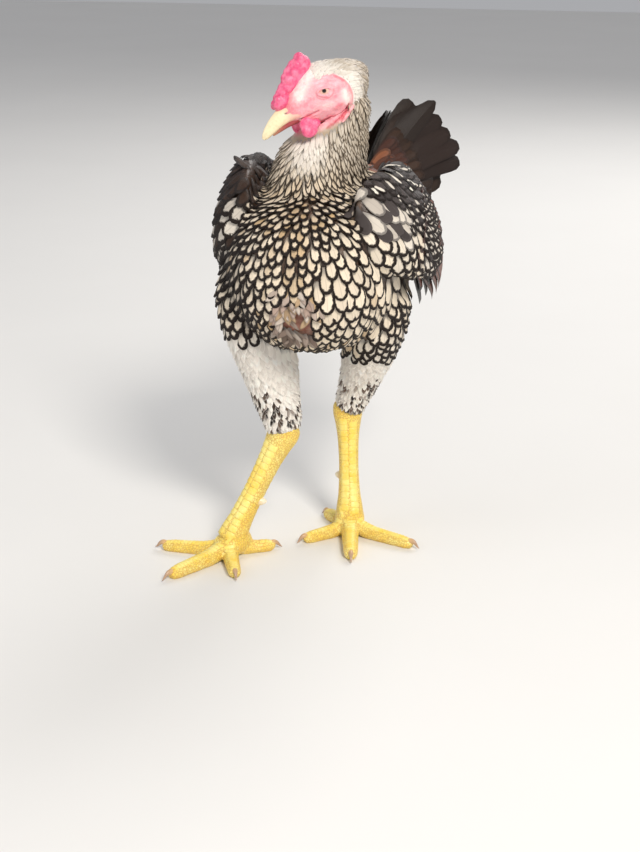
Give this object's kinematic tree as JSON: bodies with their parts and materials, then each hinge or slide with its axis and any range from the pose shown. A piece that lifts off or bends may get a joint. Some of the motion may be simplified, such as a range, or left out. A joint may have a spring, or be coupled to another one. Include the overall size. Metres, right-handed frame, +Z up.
{
  "type": "game cock figure",
  "caption": "Life-size standing game cock in a striding pose, head turned and bent down, folded wings, short arched tail and clawed feet.",
  "frame": {"origin": "middle of the bird's bounding box in plan, on the floor", "axes": "+Z up, -Y the way that the body faces, +X the bird's left"},
  "size_m": [0.253, 0.3958, 0.4674],
  "materials": {
    "laced_feathers": "cream feathers with black lacing",
    "cream_hackle": "streaked hackle",
    "brown_wing_feathers": "dark and red-brown feathers",
    "black_tail_feathers": "black feathers with a slight sheen",
    "pink_face_skin": "bare skin",
    "red_comb": "bare red skin",
    "pale_horn": "satin horn",
    "yellow_leg_scales": "satin scales",
    "pearl_eye": "glossy"
  },
  "bodies": {
    "root": {"torso": "laced_feathers", "neck": "cream_hackle", "head": "pink_face_skin", "comb": "red_comb", "beak_upper": "pale_horn", "beak_lower": "pale_horn", "eye_left": "pearl_eye", "eye_right": "pearl_eye", "wattle_left": "red_comb", "wattle_right": "red_comb", "earlobe_left": "pink_face_skin", "earlobe_right": "pink_face_skin", "wing_left": "brown_wing_feathers", "wing_right": "brown_wing_feathers", "tail": "black_tail_feathers", "thigh_left": "laced_feathers", "shank_left": "yellow_leg_scales", "spur_left": "pale_horn", "foot_left": "yellow_leg_scales", "toe_left_middle": "yellow_leg_scales", "claw_left_middle": "pale_horn", "toe_left_outer": "yellow_leg_scales", "claw_left_outer": "pale_horn", "toe_left_inner": "yellow_leg_scales", "claw_left_inner": "pale_horn", "toe_left_hind": "yellow_leg_scales", "claw_left_hind": "pale_horn", "thigh_right": "laced_feathers", "shank_right": "yellow_leg_scales", "spur_right": "pale_horn", "foot_right": "yellow_leg_scales", "toe_right_middle": "yellow_leg_scales", "claw_right_middle": "pale_horn", "toe_right_outer": "yellow_leg_scales", "claw_right_outer": "pale_horn", "toe_right_inner": "yellow_leg_scales", "claw_right_inner": "pale_horn", "toe_right_hind": "yellow_leg_scales", "claw_right_hind": "pale_horn"}
  },
  "joints": []
}
